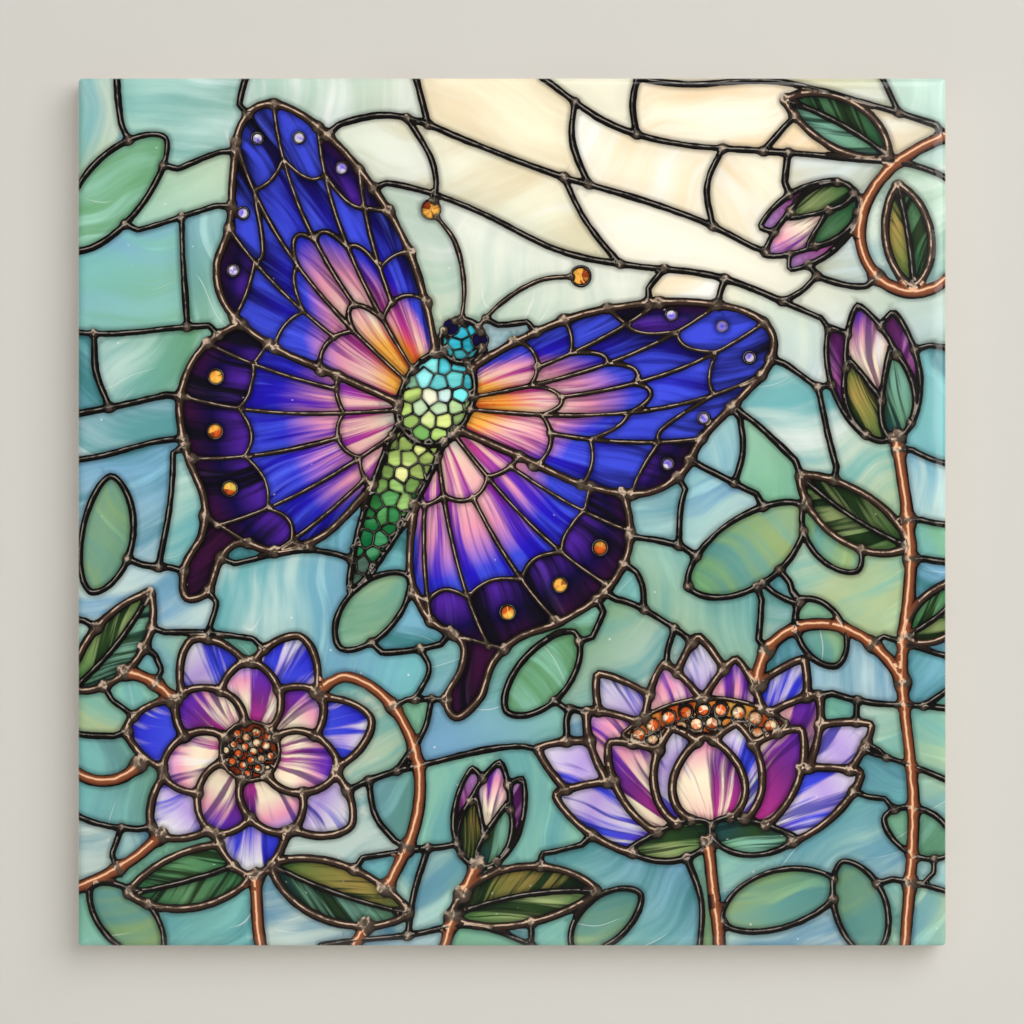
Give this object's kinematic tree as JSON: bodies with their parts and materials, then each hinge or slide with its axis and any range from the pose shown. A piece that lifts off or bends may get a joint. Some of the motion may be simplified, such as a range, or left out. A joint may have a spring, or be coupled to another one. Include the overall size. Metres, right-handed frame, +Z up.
{
  "type": "ceramic tile",
  "caption": "Square glazed ceramic wall tile with eased front edges, a printed leaded-glass style picture over its whole face, and an unglazed ribbed back.",
  "frame": {"origin": "centre of the back, in the plane of the flat tops of its ribs, where the tile is bonded to a wall", "axes": "+Z up the wall, +X to the viewer's right, +Y into the wall; the printed face looks along -Y"},
  "size_m": [0.1524, 0.0064, 0.1524],
  "materials": {
    "glazed_print": "glossy transparent glaze over a picture printed to the very edge",
    "bisque_body": "unglazed off-white pressed earthenware, matt"
  },
  "bodies": {
    "root": {"ceramic_tile": "glazed_print"}
  },
  "joints": []
}
